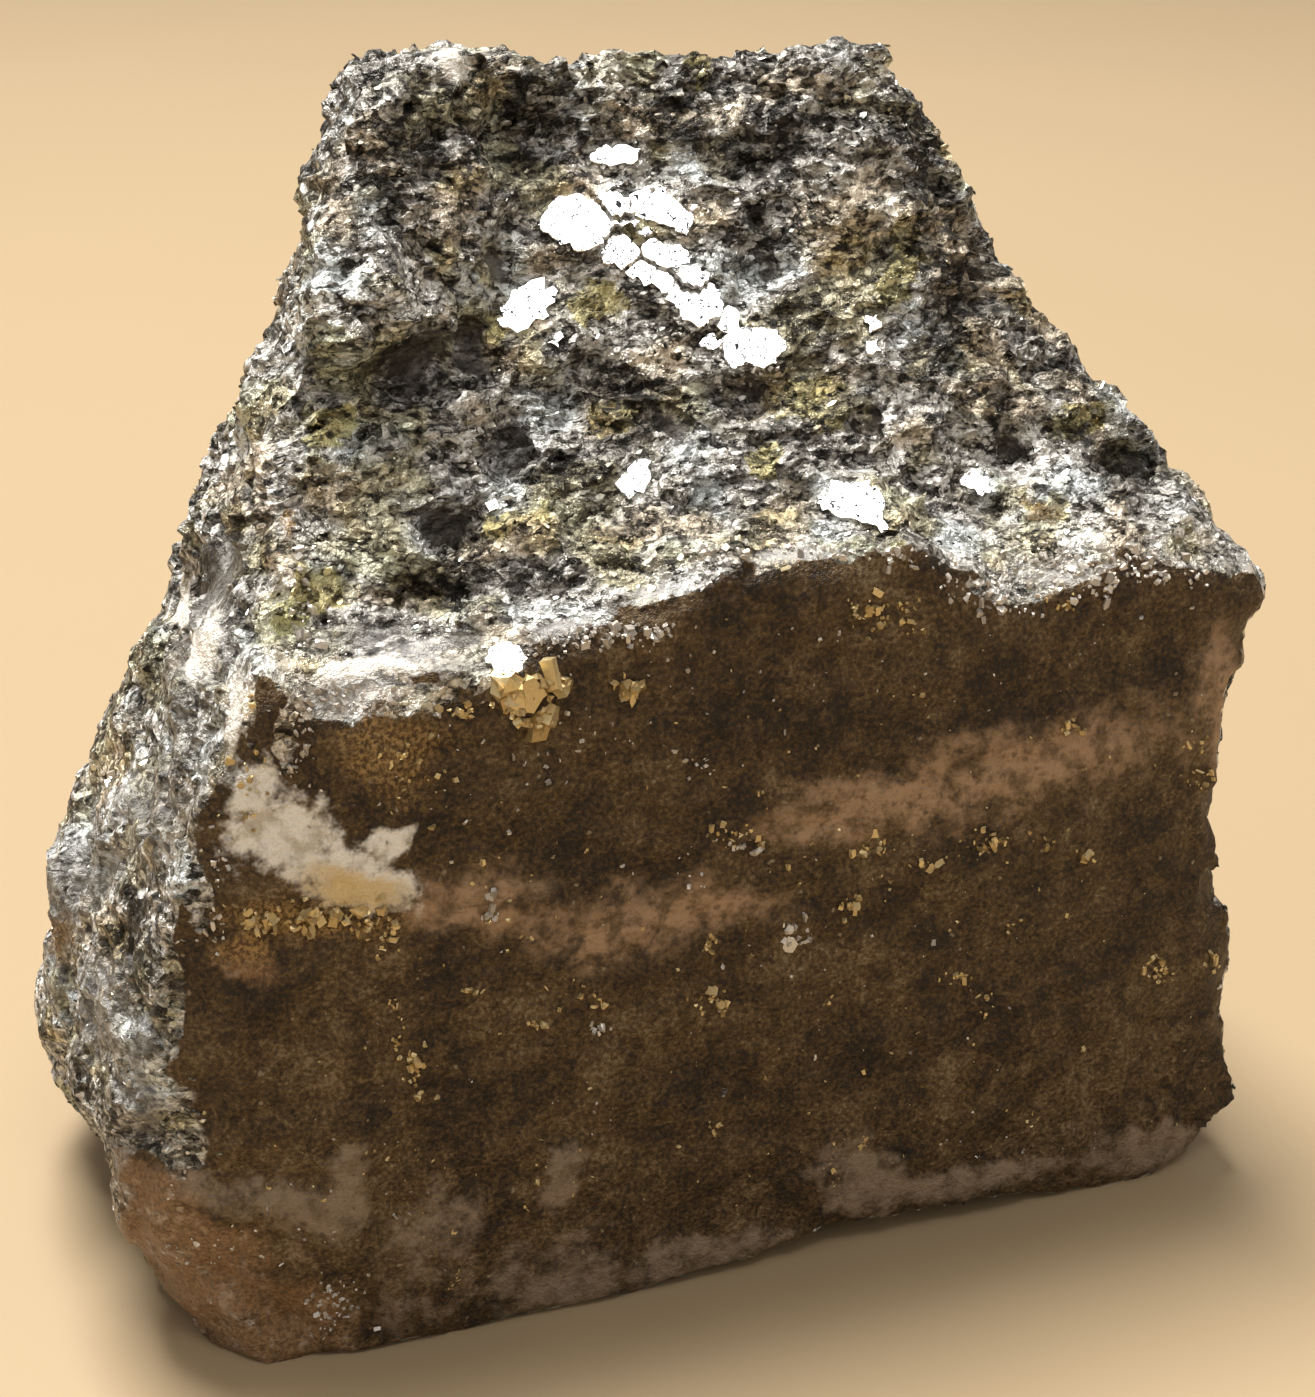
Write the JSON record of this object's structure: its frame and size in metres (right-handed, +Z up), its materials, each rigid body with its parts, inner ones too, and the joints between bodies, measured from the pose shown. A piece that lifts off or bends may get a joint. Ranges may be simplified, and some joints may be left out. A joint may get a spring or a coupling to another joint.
{
  "type": "mineral specimen",
  "caption": "Hand-sized broken lump of sphalerite ore with a flat dark front face, a sparkling stepped apron, a broken tower behind it, and grains of pyrite and quartz.",
  "frame": {"origin": "centre of the bounding box at its bottom, the level the lump stands on", "axes": "+X along the flat front face to its right, +Y from the front face to the back, +Z up"},
  "size_m": [0.0682, 0.042, 0.0639],
  "materials": {
    "sphalerite_ore": "dark brown-grey ore, satin on the flat front face, steel-grey and glittering where it is broken"
  },
  "bodies": {
    "root": {"sphalerite_specimen": "sphalerite_ore"}
  },
  "joints": []
}
